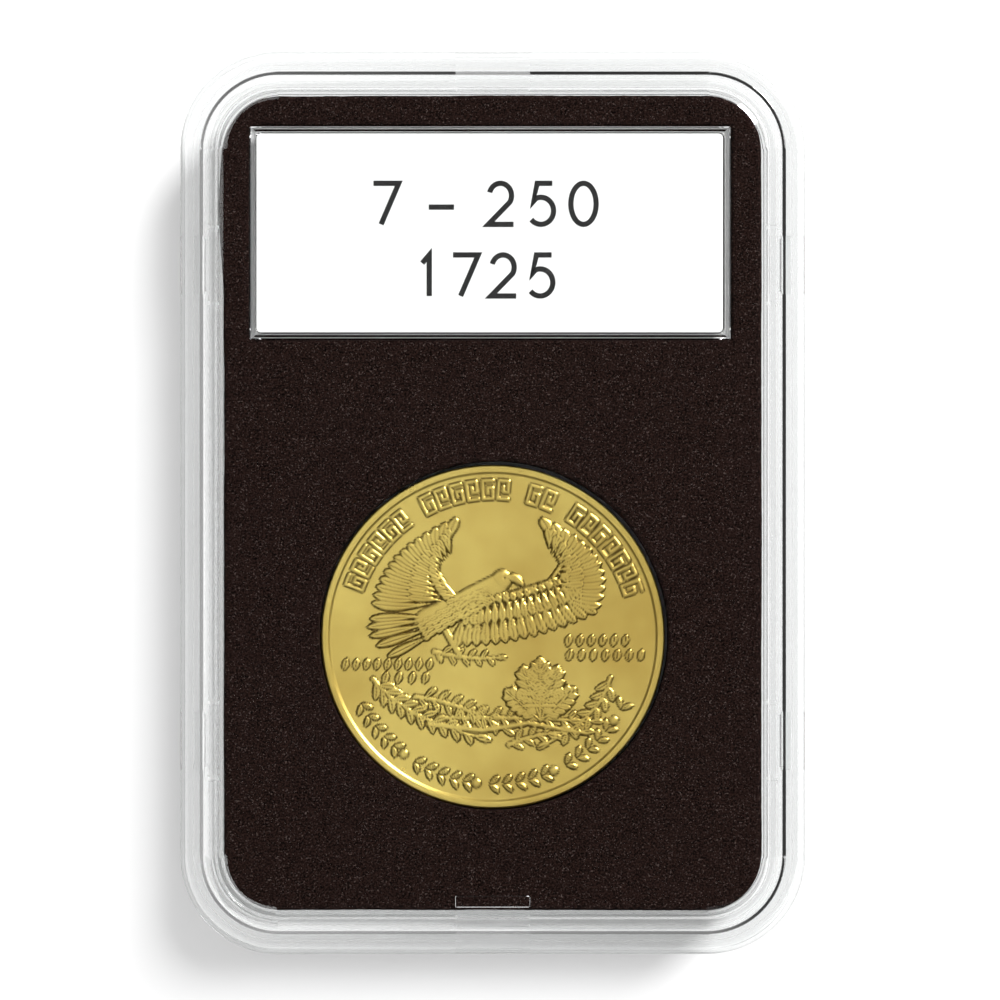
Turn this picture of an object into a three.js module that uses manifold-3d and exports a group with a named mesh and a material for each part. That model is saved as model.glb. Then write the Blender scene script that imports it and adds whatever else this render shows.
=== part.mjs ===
// A rectangular snap-together coin case: two clear shells, a foam insert, a coin and a label card.
// Units are millimetres. The case lies on its back: +X is right, +Y is up the front face, +Z is out of
// the front. The origin is the middle of the rest face.

import * as THREE from 'three';
import { mergeVertices } from 'three/addons/utils/BufferGeometryUtils.js';
import Module from 'manifold-3d';

// Outer case
const caseWidth = 59.2;
const caseLength = 85.5;
const caseThickness = 8.6;
const cornerRadius = 9.3;
const edgeRounding = 0.5;

// Shell walls
const rimHeight = 0.5;
const rimWidth = 3.4;
const windowThickness = 1.5;
const outerWall = 2.1;
const nestGap = 0.4;
const ringWall = 1.0;
const partingGap = 0.1;
const ringHeadroom = 0.3;
const mouthChamfer = 0.4;
const ringChamfer = 0.25;

// Snap catches, a pair on each long side, each on a finger slit out of the ring
const catchLength = 5.0;
const catchHeight = 0.8;
const catchClearance = 0.12;
const catchEndDistance = 20.15;
const catchTopGap = 0.5;
const fingerLength = 6.9;
const fingerSlit = 0.35;
const pocketDepth = 0.9;
const pocketMargin = 0.25;

// Pry slots, in the middle of each short side, with a locating key behind each
const slotWidth = 7.1;
const slotHeight = 1.2;
const slotDepth = 1.6;
const keyClearance = 0.15;

// Label card and its pocket, a frame under the front window
const labelHeight = 18.9;
const labelThickness = 0.3;
const labelRadius = 0.45;
const labelClearance = 0.1;
const labelFaceGap = 0.05;
const frameWall = 0.45;
const frameDepth = 1.0;
const frameSideMargin = 2.8;
const frameTopMargin = 3.05;

// Gate pad, where the front shell's moulding gate was
const gateHeight = 1.0;
const gateThickness = 0.08;
const gateInset = 4.4;

// Coin
const coinDiameter = 32.7;
const coinThickness = 2.87;
const coinDrop = 1.2;
const coinRimWidth = 0.85;
const coinFieldDepth = 0.22;
const reedCount = 104;
const reedDepth = 0.12;

// Foam insert
const foamSideGap = 0.57;
const foamFaceGap = 0.2;
const coinSeatClearance = 0.12;
const foamFrameClearance = 0.2;

// Fineness of curved outlines
const cornerSteps = 8;
const roundingSteps = 3;
const circleSteps = 96;
const minimumRadius = 0.5;
const frameRadius = 0.1;
const grooveRadius = 0.3;
const pointsPerReed = 3;
const cutOverrun = 1;

// Heights and places worked out from the sizes above
const partingHeight = caseThickness / 2;
const ringInset = outerWall + nestGap;
const trayInset = ringInset + ringWall;
const backFloor = rimHeight + windowThickness;
const frontCeiling = caseThickness - rimHeight - windowThickness;
const ringTop = frontCeiling - ringHeadroom;
const foamBottom = backFloor + foamFaceGap;
const foamTop = frontCeiling - foamFaceGap;
const foamInset = trayInset + foamSideGap;
const frameWidth = caseWidth - 2 * (foamInset + frameSideMargin);
const labelPocketWidth = frameWidth - 2 * frameWall;
const labelPocketHeight = labelHeight + 2 * labelClearance;
const labelWidth = labelPocketWidth - 2 * labelClearance;
const frameHeight = labelPocketHeight + 2 * frameWall;
const frameTopY = caseLength / 2 - foamInset - frameTopMargin;
const labelCentreY = frameTopY - frameHeight / 2;
const labelTop = frontCeiling - labelFaceGap;
const labelBottom = labelTop - labelThickness;
const coinMiddle = (foamBottom + foamTop) / 2;
const coinRadius = coinDiameter / 2;
const coinCentreY = (frameTopY - frameHeight - caseLength / 2 + foamInset) / 2 - coinDrop;
const catchTop = ringTop - catchTopGap;
const catchReach = nestGap - catchClearance;
const catchCentreY = caseLength / 2 - catchEndDistance;

const manifold = await Module();
manifold.setup();

// A closed three.js geometry as a solid that can be cut and joined.
function solidOf(geometry) {
  const bare = geometry.clone();
  bare.deleteAttribute('normal');
  bare.deleteAttribute('uv');
  const merged = mergeVertices(bare, 1e-5);
  return new manifold.Manifold(new manifold.Mesh({
    numProp: 3,
    vertProperties: new Float32Array(merged.attributes.position.array),
    triVerts: new Uint32Array(merged.index.array),
  }));
}

// A solid as a three.js geometry.
function geometryOf(solid) {
  const mesh = solid.getMesh();
  const geometry = new THREE.BufferGeometry();
  geometry.setAttribute('position', new THREE.BufferAttribute(mesh.vertProperties, 3));
  geometry.setIndex(new THREE.BufferAttribute(mesh.triVerts, 1));
  geometry.computeVertexNormals();
  return geometry;
}

// The outline of a rectangle with round corners, about the origin.
function roundedRectangle(width, length, radius) {
  const x = width / 2 - radius;
  const y = length / 2 - radius;
  const outline = new THREE.Shape();
  outline.absarc(x, y, radius, 0, Math.PI / 2, false);
  outline.absarc(-x, y, radius, Math.PI / 2, Math.PI, false);
  outline.absarc(-x, -y, radius, Math.PI, 1.5 * Math.PI, false);
  outline.absarc(x, -y, radius, 1.5 * Math.PI, 2 * Math.PI, false);
  outline.closePath();
  return outline;
}

// A plate with round corners between two heights.
function plate(width, length, radius, low, high, centreY = 0) {
  const outline = roundedRectangle(width, length, radius);
  const options = { depth: high - low, bevelEnabled: false, curveSegments: cornerSteps };
  const geometry = new THREE.ExtrudeGeometry(outline, options);
  geometry.translate(0, centreY, low);
  return solidOf(geometry);
}

// A plate whose outline lies inset from the outside of the case.
function insetPlate(inset, low, high) {
  return plate(
    caseWidth - 2 * inset,
    caseLength - 2 * inset,
    Math.max(cornerRadius - inset, minimumRadius),
    low,
    high,
  );
}

// A square-edged block, given by its size and its middle.
function block(width, length, height, x, y, z) {
  const geometry = new THREE.BoxGeometry(width, length, height);
  geometry.translate(x, y, z);
  return solidOf(geometry);
}

// A disc about the z axis at the coin's place.
function disc(radius, low, high) {
  const geometry = new THREE.CylinderGeometry(radius, radius, high - low, circleSteps);
  geometry.rotateX(Math.PI / 2);
  geometry.translate(0, coinCentreY, (low + high) / 2);
  return solidOf(geometry);
}

// An inset plate whose top and bottom edges are taken back by a size, round or straight.
function easedPlate(inset, low, high, easing, easingSteps) {
  const outline = roundedRectangle(
    caseWidth - 2 * inset,
    caseLength - 2 * inset,
    Math.max(cornerRadius - inset, minimumRadius),
  );
  const geometry = new THREE.ExtrudeGeometry(outline, {
    depth: high - low - 2 * easing,
    bevelEnabled: true,
    bevelThickness: easing,
    bevelSize: easing,
    bevelOffset: -easing,
    bevelSegments: easingSteps,
    curveSegments: cornerSteps,
  });
  geometry.translate(0, 0, low + easing);
  return solidOf(geometry);
}

// The half of the case between two heights, with its outer edges rounded.
function caseHalf(low, high) {
  const middle = (low + high) / 2;
  const slice = block(2 * caseWidth, 2 * caseLength, high - low, 0, 0, middle);
  return easedPlate(0, 0, caseThickness, edgeRounding, roundingSteps).intersect(slice);
}

// The slot at the middle of one short side that a coin or a nail opens the case with.
function prySlot(side) {
  const depth = slotDepth + cutOverrun;
  const y = side * (caseLength / 2 - slotDepth + depth / 2);
  return block(slotWidth, depth, slotHeight, 0, y, partingHeight);
}

// One block for each catch place, with its inner face at x and its middle a shift along the side.
function atEachCatch(length, reach, height, x, middle, shift = 0) {
  const blocks = [];
  for (const side of [-1, 1]) {
    for (const end of [-1, 1]) {
      const y = end * catchCentreY + shift;
      blocks.push(block(reach, length, height, side * (x + reach / 2), y, middle));
    }
  }
  return blocks;
}

// The pockets inside the front wall, one for each catch.
function catchPockets() {
  return atEachCatch(
    catchLength + 2 * pocketMargin,
    pocketDepth + nestGap / 2,
    catchHeight + 2 * pocketMargin,
    caseWidth / 2 - outerWall - nestGap / 2,
    catchTop - catchHeight / 2,
  );
}

// The catches on the outside of the back shell's ring.
function catches() {
  return atEachCatch(
    catchLength,
    catchReach + ringWall / 2,
    catchHeight,
    caseWidth / 2 - ringInset - ringWall / 2,
    catchTop - catchHeight / 2,
  );
}

// The slits in the ring that free a springy finger round each catch.
function fingerSlits() {
  const height = ringTop - partingHeight + cutOverrun;
  const middle = partingHeight + height / 2;
  const reach = ringWall + 2 * cutOverrun;
  const x = caseWidth / 2 - trayInset - cutOverrun;
  const shift = (fingerLength + fingerSlit) / 2;
  return [-shift, shift].flatMap((place) => atEachCatch(fingerSlit, reach, height, x, middle, place));
}

// A block that crosses the ring at the middle of one short side, for the key and its notch.
function keyBlock(side, width, outerInset, innerInset, low, high) {
  const y = side * (caseLength / 2 - (outerInset + innerInset) / 2);
  return block(width, innerInset - outerInset, high - low, 0, y, (low + high) / 2);
}

// The space that the back shell's ring fills in the front wall, with a lead-in at its mouth.
function frontHollow() {
  const mouth = partingHeight - mouthChamfer - cutOverrun;
  const leadIn = easedPlate(
    outerWall - mouthChamfer,
    mouth,
    partingHeight + mouthChamfer,
    mouthChamfer,
    1,
  );
  return insetPlate(outerWall, mouth, frontCeiling).add(leadIn);
}

// The frame under the front window that the label card lies in.
function labelFrame() {
  const outer = plate(
    frameWidth,
    frameHeight,
    frameRadius,
    frontCeiling - frameDepth,
    frontCeiling + windowThickness / 2,
    labelCentreY,
  );
  const inner = plate(
    labelPocketWidth,
    labelPocketHeight,
    labelRadius,
    frontCeiling - frameDepth - cutOverrun,
    frontCeiling,
    labelCentreY,
  );
  return outer.subtract(inner);
}

function frontShell() {
  let shell = caseHalf(partingHeight + partingGap / 2, caseThickness);
  shell = shell.subtract(frontHollow());
  shell = shell.subtract(insetPlate(rimWidth, caseThickness - rimHeight, caseThickness + cutOverrun));
  shell = shell.add(labelFrame());
  const gateY = -caseLength / 2 + gateInset + gateHeight / 2;
  const gateMiddle = frontCeiling + windowThickness / 4 - gateThickness / 2;
  const gateSpan = gateThickness + windowThickness / 2;
  shell = shell.add(block(slotWidth, gateHeight, gateSpan, 0, gateY, gateMiddle));
  for (const pocket of catchPockets()) {
    shell = shell.subtract(pocket);
  }
  const keyWidth = slotWidth - 2 * keyClearance;
  const keyBottom = partingHeight + mouthChamfer + keyClearance;
  const keyTop = frontCeiling + windowThickness / 2;
  for (const side of [-1, 1]) {
    shell = shell.add(keyBlock(side, keyWidth, ringInset, trayInset, keyBottom, keyTop));
    shell = shell.subtract(prySlot(side));
  }
  return shell;
}

function backShell() {
  let shell = caseHalf(0, partingHeight - partingGap / 2);
  shell = shell.add(easedPlate(ringInset, rimHeight + windowThickness / 2, ringTop, ringChamfer, 1));
  for (const catchBlock of catches()) {
    shell = shell.add(catchBlock);
  }
  shell = shell.subtract(insetPlate(trayInset, backFloor, ringTop + cutOverrun));
  shell = shell.subtract(insetPlate(rimWidth, -cutOverrun, rimHeight));
  for (const slit of fingerSlits()) {
    shell = shell.subtract(slit);
  }
  for (const side of [-1, 1]) {
    const notchOuter = ringInset - nestGap / 2;
    const notchInner = trayInset + foamSideGap / 2;
    const notchTop = ringTop + cutOverrun;
    shell = shell.subtract(keyBlock(side, slotWidth, notchOuter, notchInner, partingHeight, notchTop));
    shell = shell.subtract(prySlot(side));
  }
  return shell;
}

// The groove that the label frame presses into the foam, and the lowered pad inside it.
function labelRelief() {
  const groove = plate(
    frameWidth + 2 * foamFrameClearance,
    frameHeight + 2 * foamFrameClearance,
    grooveRadius,
    frontCeiling - frameDepth - foamFrameClearance,
    foamTop + cutOverrun,
    labelCentreY,
  );
  const pad = plate(
    labelPocketWidth - 2 * foamFrameClearance,
    labelPocketHeight - 2 * foamFrameClearance,
    labelRadius,
    foamBottom,
    labelBottom - labelClearance,
    labelCentreY,
  );
  return groove.subtract(pad);
}

function foamInsert() {
  const seatRadius = coinRadius + coinSeatClearance;
  return insetPlate(foamInset, foamBottom, foamTop)
    .subtract(disc(seatRadius, foamBottom - cutOverrun, foamTop + cutOverrun))
    .subtract(labelRelief());
}

// The coin: a reeded disc with a rim raised round the field on both sides.
function coinSolid() {
  const outline = new THREE.Shape();
  const points = reedCount * pointsPerReed;
  for (let point = 0; point < points; point += 1) {
    const angle = (2 * Math.PI * point) / points;
    const crest = (1 + Math.cos(reedCount * angle)) / 2;
    const radius = coinRadius - reedDepth * (1 - crest);
    const x = radius * Math.cos(angle);
    const y = radius * Math.sin(angle);
    if (point === 0) {
      outline.moveTo(x, y);
    } else {
      outline.lineTo(x, y);
    }
  }
  outline.closePath();
  const bottom = coinMiddle - coinThickness / 2;
  const top = coinMiddle + coinThickness / 2;
  const geometry = new THREE.ExtrudeGeometry(outline, { depth: coinThickness, bevelEnabled: false });
  geometry.translate(0, coinCentreY, bottom);
  const fieldRadius = coinRadius - coinRimWidth;
  return solidOf(geometry)
    .subtract(disc(fieldRadius, top - coinFieldDepth, top + cutOverrun))
    .subtract(disc(fieldRadius, bottom - cutOverrun, bottom + coinFieldDepth));
}

function labelCard() {
  return plate(labelWidth, labelHeight, labelRadius, labelBottom, labelTop, labelCentreY);
}

// Materials
const clearPlastic = new THREE.MeshStandardMaterial({
  name: 'clear_plastic',
  color: 0xf2f5f6,
  roughness: 0.05,
  metalness: 0,
  transparent: true,
  opacity: 0.3,
});
const foam = new THREE.MeshStandardMaterial({
  name: 'foam',
  color: 0x1f1513,
  roughness: 0.95,
  metalness: 0,
});
const gold = new THREE.MeshStandardMaterial({
  name: 'gold',
  color: 0xc8b064,
  roughness: 0.28,
  metalness: 1,
});
const card = new THREE.MeshStandardMaterial({
  name: 'card',
  color: 0xfafafa,
  roughness: 0.85,
  metalness: 0,
});

function piece(name, solid, material) {
  const mesh = new THREE.Mesh(geometryOf(solid), material);
  mesh.name = name;
  return mesh;
}

const capsule = new THREE.Group();
capsule.name = 'coin_capsule';
capsule.add(piece('back_shell', backShell(), clearPlastic));
capsule.add(piece('foam_insert', foamInsert(), foam));
capsule.add(piece('coin', coinSolid(), gold));
capsule.add(piece('label_card', labelCard(), card));
capsule.add(piece('front_shell', frontShell(), clearPlastic));

export default capsule;
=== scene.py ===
import math

import bmesh
import bpy
import numpy as np
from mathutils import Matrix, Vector, noise


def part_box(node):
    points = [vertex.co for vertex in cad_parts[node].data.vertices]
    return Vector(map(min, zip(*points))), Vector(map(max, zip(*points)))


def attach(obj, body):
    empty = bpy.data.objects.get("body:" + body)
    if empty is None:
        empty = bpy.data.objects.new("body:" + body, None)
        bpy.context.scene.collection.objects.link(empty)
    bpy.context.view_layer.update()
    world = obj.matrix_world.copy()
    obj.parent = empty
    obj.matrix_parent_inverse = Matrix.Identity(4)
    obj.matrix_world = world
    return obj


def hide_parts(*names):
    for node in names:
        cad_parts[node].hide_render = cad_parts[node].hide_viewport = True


# A rectangular snap-together coin case: two clear shells, a foam insert, a coin and a label card.
# Lengths are metres. The case lies on its back, with +Y up the front face and +Z out of the front.

bl_info = {
    "name": "Coin Capsule",
    "version": (1, 0, 0),
    "blender": (4, 5, 0),
    "location": "View3D > Sidebar > Capsule",
    "description": "Builds the shells, foam, coin and label of a coin capsule round its frame",
    "category": "Add Mesh",
}

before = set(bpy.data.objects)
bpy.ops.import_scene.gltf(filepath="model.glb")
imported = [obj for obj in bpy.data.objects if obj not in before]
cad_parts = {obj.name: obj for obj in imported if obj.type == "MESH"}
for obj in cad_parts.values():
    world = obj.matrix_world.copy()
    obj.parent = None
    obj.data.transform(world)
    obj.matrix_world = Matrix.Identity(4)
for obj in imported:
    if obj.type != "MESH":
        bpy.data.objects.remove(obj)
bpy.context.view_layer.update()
front_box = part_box("front_shell")
back_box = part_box("back_shell")
foam_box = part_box("foam_insert")
coin_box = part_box("coin")
card_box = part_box("label_card")

MM = 0.001

# Catches on the back shell's ring, and the pockets and slits that go with them
CATCH_LENGTH = 5.0 * MM
CATCH_HEIGHT = 0.8 * MM
CATCH_REACH = 0.28 * MM
CATCH_CENTRE_Y = 22.6 * MM
CATCH_TOP_GAP = 0.5 * MM
FINGER_LENGTH = 6.9 * MM
FINGER_SLIT = 0.35 * MM
POCKET_DEPTH = 0.9 * MM
POCKET_MARGIN = 0.25 * MM

# Pry slots in the short sides, with a locating key behind each
SLOT_WIDTH = 7.1 * MM
SLOT_HEIGHT = 1.2 * MM
SLOT_DEPTH = 1.6 * MM
KEY_CLEARANCE = 0.15 * MM
NOTCH_MARGIN = 0.2 * MM

# Frame under the front window that holds the label card, and the moulding gate's pad
FRAME_WALL = 0.45 * MM
FRAME_DEPTH = 1.0 * MM
FRAME_RADIUS = 0.1 * MM
FRAME_EASE = 0.13 * MM
CARD_CLEARANCE = 0.1 * MM
CARD_RADIUS = 0.45 * MM
FRAME_SHIFT = np.array([-0.25, 0.0]) * MM
CARD_SHIFT = np.array([-0.32, 0.0]) * MM
GATE_HEIGHT = 1.0 * MM
GATE_THICKNESS = 0.035 * MM
GATE_INSET = 4.4 * MM

# Gaps and eased edges
PARTING_GAP = 0.1 * MM
RING_HEADROOM = 0.3 * MM
MOUTH_CHAMFER = 0.4 * MM
MOUTH_RISE = 0.31 * MM
RIM_CHAMFER = 0.26 * MM
RIM_RISE = 0.36 * MM
LIP_INSET = 1.08 * MM
LIP_DROP = 0.06 * MM
RING_CHAMFER = 0.25 * MM
SMALL_EASE = 0.1 * MM
INNER_EASE = 0.2 * MM
SINK = 0.3 * MM
OVERRUN = 1.0 * MM

CORNER_STEPS = 24
EASE_STEPS = 5


# ---------------------------------------------------------------- settings

def length_setting(name, description, default):
    """A size in the sidebar, in metres."""
    return bpy.props.FloatProperty(
        name=name,
        description=description,
        default=default,
        min=0.0,
        precision=5,
        unit="LENGTH",
        subtype="DISTANCE",
    )


def colour_setting(name, description, default):
    """A colour in the sidebar."""
    return bpy.props.FloatVectorProperty(
        name=name,
        description=description,
        default=default,
        size=3,
        min=0.0,
        max=1.0,
        subtype="COLOR",
    )


class CapsuleCaseSettings(bpy.types.PropertyGroup):
    width: length_setting("Width", "Outer width of the case", front_box[1].x - front_box[0].x)
    length: length_setting("Length", "Outer length of the case", front_box[1].y - front_box[0].y)
    thickness: length_setting("Thickness", "Outer thickness of the closed case", front_box[1].z)
    corner_radius: length_setting("Corner Radius", "Radius of the case's corners", 9.3 * MM)
    edge_rounding: length_setting("Edge Rounding", "Radius along the outer edges", 0.5 * MM)
    rim_width: length_setting("Rim Width", "Width of the raised rim round each window", 3.4 * MM)
    rim_height: length_setting("Rim Height", "Height of the rim over the window", 0.5 * MM)
    window: length_setting("Window Thickness", "Thickness of each window", 1.5 * MM)
    outer_wall: length_setting("Outer Wall", "Thickness of the front shell's wall", 2.1 * MM)
    nest_gap: length_setting("Nest Gap", "Gap between the wall and the ring inside it", 0.4 * MM)
    ring_wall: length_setting("Ring Wall", "Thickness of the back shell's ring", 1.0 * MM)
    tint: colour_setting("Plastic Tint", "Colour of the clear plastic", (0.985, 0.992, 0.99))


class CapsuleFoamSettings(bpy.types.PropertyGroup):
    bulge: length_setting("Bulge", "How far the foam leans out beside the label", 0.48 * MM)
    waviness: length_setting("Waviness", "How far the die-cut edge wanders", 0.07 * MM)
    seat_clearance: length_setting("Seat Clearance", "Gap round the coin", 0.2 * MM)
    frame_clearance: length_setting("Frame Clearance", "Gap round the label frame", 0.2 * MM)
    voxel: length_setting("Fineness", "Size of the cells that the foam is meshed in", 0.24 * MM)
    colour: colour_setting("Foam Colour", "Colour of the foam", (0.0104, 0.0054, 0.0045))
    fleck: colour_setting("Fleck Colour", "Colour of the bright cells", (0.085, 0.062, 0.056))


class CapsuleCoinSettings(bpy.types.PropertyGroup):
    rim_width: length_setting("Rim Width", "Width of the raised rim", 0.85 * MM)
    field_depth: length_setting("Field Depth", "Depth of the field below the rim", 0.22 * MM)
    reed_depth: length_setting("Reed Depth", "Depth of the reeds on the edge", 0.12 * MM)
    reed_count: bpy.props.IntProperty(
        name="Reeds", description="Number of reeds round the edge", default=104, min=8
    )
    gold: colour_setting("Gold", "Colour of the metal", (0.575, 0.445, 0.125))
    # Colour painted as shade in the relief's hollows, where the gold lies below the relief round it
    painted_shade: colour_setting("Painted Shade", "Colour at the foot of the relief", (0.05, 0.027, 0.007))


class CapsuleLabelSettings(bpy.types.PropertyGroup):
    digit_height: length_setting("Digit Height", "Height of the printed digits", 4.4 * MM)
    digit_width: length_setting("Digit Width", "Width of the printed digits", 2.9 * MM)
    stroke: length_setting("Stroke", "Width of the printed strokes", 0.5 * MM)
    ink_height: length_setting("Ink Height", "Thickness of the ink on the card", 0.02 * MM)
    paper: colour_setting("Paper", "Colour of the card", (0.9, 0.9, 0.895))
    ink: colour_setting("Ink", "Colour of the print", (0.006, 0.006, 0.006))


class CapsuleStageSettings(bpy.types.PropertyGroup):
    floor_size: length_setting("Floor Size", "Side of the floor", 6.0)
    camera_height: length_setting("Camera Height", "Height of the camera over the floor", 0.65)
    view_width: length_setting("View Width", "Width of the picture at the front face", 94.72 * MM)
    floor_colour: colour_setting("Floor", "Colour of the floor", (0.87, 0.87, 0.87))
    sky_strength: bpy.props.FloatProperty(
        name="Sky", description="Brightness of the dome's upper part", default=1.3, min=0.0
    )
    key_power: bpy.props.FloatProperty(
        name="Key Light", description="Power of the soft light at the upper right", default=6.4, min=0.0
    )


# ---------------------------------------------------------------- shapes

def outline(half_x, half_y, radius, centre_y=0.0):
    """The points of a rectangle with round corners, anticlockwise."""
    points = []
    for quarter, (side_x, side_y) in enumerate(((1, 1), (-1, 1), (-1, -1), (1, -1))):
        for step in range(CORNER_STEPS + 1):
            angle = math.pi / 2 * (quarter + step / CORNER_STEPS)
            x = side_x * (half_x - radius) + radius * math.cos(angle)
            y = side_y * (half_y - radius) + radius * math.sin(angle)
            points.append((x, centre_y + y))
    return np.array(points)


def at_height(points, z):
    """Plan points lifted to a height."""
    return np.column_stack([points, np.full(len(points), z)])


def case_loop(case, inset, z):
    """The case's outline, taken in by an inset, at a height."""
    radius = max(case.corner_radius - inset, 0.5 * MM)
    return at_height(outline(case.width / 2 - inset, case.length / 2 - inset, radius), z)


def eased(corners):
    """A path through (across, up, radius) corners, with each corner rounded by its radius."""
    path = [corners[0][:2]]
    for before, here, after in zip(corners, corners[1:], corners[2:]):
        corner = Vector(here[:2])
        coming = (corner - Vector(before[:2])).normalized()
        going = (Vector(after[:2]) - corner).normalized()
        turn = coming.angle_signed(going)
        reach = here[2] * math.tan(abs(turn) / 2)
        for step in range(EASE_STEPS + 1):
            share = step / EASE_STEPS
            start = corner - coming * reach
            end = corner + going * reach
            middle = start.lerp(corner, share)
            path.append(tuple(middle.lerp(corner.lerp(end, share), share)))
    path.append(corners[-1][:2])
    return path


def mesh_object(name, points, faces):
    """A new object from points and faces, with its faces turned outward."""
    mesh = bpy.data.meshes.new(name)
    mesh.from_pydata([tuple(p) for p in points], [], faces)
    shape = bmesh.new()
    shape.from_mesh(mesh)
    bmesh.ops.recalc_face_normals(shape, faces=shape.faces)
    shape.to_mesh(mesh)
    shape.free()
    piece = bpy.data.objects.new(name, mesh)
    bpy.context.scene.collection.objects.link(piece)
    return piece


def band_faces(low, high, count):
    """The quads between two rings of points that start at two indices."""
    return [(low + i, low + (i + 1) % count, high + (i + 1) % count, high + i) for i in range(count)]


def stack(name, loops, closed=False):
    """A solid from rings of points. Its ends are capped, or joined to each other if it is closed."""
    count = len(loops[0])
    faces = []
    for level in range(len(loops) - 1):
        faces += band_faces(level * count, (level + 1) * count, count)
    last = (len(loops) - 1) * count
    if closed:
        faces += band_faces(last, 0, count)
    else:
        faces.append(tuple(range(count - 1, -1, -1)))
        faces.append(tuple(range(last, last + count)))
    return mesh_object(name, np.concatenate(loops), faces)


def block_parts(lows_and_highs):
    """The points and faces of square-edged blocks, each given by its lowest and highest corner."""
    points, faces = [], []
    for low, high in lows_and_highs:
        start = len(points)
        for z in (low[2], high[2]):
            points += [(low[0], low[1], z), (high[0], low[1], z), (high[0], high[1], z), (low[0], high[1], z)]
        faces += [tuple(start + i for i in (3, 2, 1, 0)), tuple(start + i for i in (4, 5, 6, 7))]
        faces += band_faces(start, start + 4, 4)
    return points, faces


def blocks(lows_and_highs):
    """One object that holds several blocks that don't touch."""
    return mesh_object("tool", *block_parts(lows_and_highs))


def box_between(x0, x1, y0, y1, z0, z1):
    """The lowest and highest corner of a block from pairs of places in any order."""
    return (min(x0, x1), min(y0, y1), z0), (max(x0, x1), max(y0, y1), z1)


def shaped(piece, modifier_type, **settings):
    """Runs one modifier on a piece and keeps its result as the piece's mesh."""
    modifier = piece.modifiers.new(modifier_type.title(), modifier_type)
    for key, value in settings.items():
        setattr(modifier, key, value)
    bpy.context.view_layer.update()
    result = bpy.data.meshes.new_from_object(
        piece.evaluated_get(bpy.context.evaluated_depsgraph_get())
    )
    piece.modifiers.clear()
    piece.data = result
    result.name = piece.name
    if not result.polygons:
        raise RuntimeError(f"{piece.name} came out empty after {modifier_type}")
    return piece


def combine(piece, tool, operation):
    """Joins a tool to a piece or cuts it out, and takes the tool away."""
    shaped(piece, "BOOLEAN", object=tool, operation=operation, solver="EXACT")
    bpy.data.objects.remove(tool)
    return piece


def smooth_by_angle(piece, degrees):
    """Shades a piece smooth, with sharp edges over an angle and flat faces kept flat."""
    mesh = piece.data
    mesh.polygons.foreach_set("use_smooth", [True] * len(mesh.polygons))
    mesh.set_sharp_from_angle(angle=math.radians(degrees))
    modifier = piece.modifiers.new("Flat faces", "WEIGHTED_NORMAL")
    modifier.keep_sharp = True
    modifier.weight = 100


def finish_piece(piece, body, node, slot, *materials):
    """Gives a piece its materials and its body, and hides the CAD node that it stands for. The slot is not used."""
    for material in materials:
        piece.data.materials.append(material)
    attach(piece, body)
    if node:
        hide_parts(node)
    return piece


# ---------------------------------------------------------------- materials

class Shader:
    """A new material with a short way to add and link its nodes."""

    def __init__(self, name):
        self.material = bpy.data.materials.new(name)
        self.material.use_nodes = True
        self.tree = self.material.node_tree
        self.surface = self.tree.nodes["Principled BSDF"]
        self.output = self.tree.nodes["Material Output"]

    def add(self, node_type, links=None, **settings):
        """A node with settings. Links are given as input name to output socket or plain value."""
        node = self.tree.nodes.new(node_type)
        for key, value in settings.items():
            setattr(node, key, value)
        for key, value in (links or {}).items():
            self.feed(node.inputs[key], value)
        return node

    def feed(self, socket, value):
        """Links an output to an input, or sets the input to a plain value."""
        if isinstance(value, bpy.types.NodeSocket):
            self.tree.links.new(value, socket)
        else:
            socket.default_value = value

    def grain(self, scale, detail=2.0, roughness=0.5, distortion=0.0):
        """Noise in the piece's own coordinates, with that many grains to a metre."""
        place = self.add("ShaderNodeTexCoord").outputs["Object"]
        links = {"Vector": place, "Scale": scale, "Detail": detail, "Roughness": roughness}
        links["Distortion"] = distortion
        return self.add("ShaderNodeTexNoise", links).outputs["Fac"]

    def between(self, value, low, high, from_low=0.0, from_high=1.0):
        """A value moved from one range to another and held inside it."""
        links = {
            "Value": value,
            "From Min": from_low,
            "From Max": from_high,
            "To Min": low,
            "To Max": high,
        }
        return self.add("ShaderNodeMapRange", links).outputs["Result"]

    def blend(self, factor, first, second):
        """A colour between two colours."""
        node = self.add("ShaderNodeMix", data_type="RGBA")
        self.feed(node.inputs[0], factor)
        self.feed(node.inputs[6], first)
        self.feed(node.inputs[7], second)
        return node.outputs[2]

    def bump(self, height, strength, distance, normal=None):
        """A bumped normal."""
        links = {"Height": height, "Strength": strength, "Distance": distance}
        if normal is not None:
            links["Normal"] = normal
        return self.add("ShaderNodeBump", links).outputs["Normal"]

    def set(self, **sockets):
        """Feeds the main shader's inputs, named with underscores for spaces."""
        for key, value in sockets.items():
            self.feed(self.surface.inputs[key.replace("_", " ")], value)


def rgba(colour, alpha=1.0):
    """A colour property as four numbers."""
    return (*colour[:3], alpha)


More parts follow.
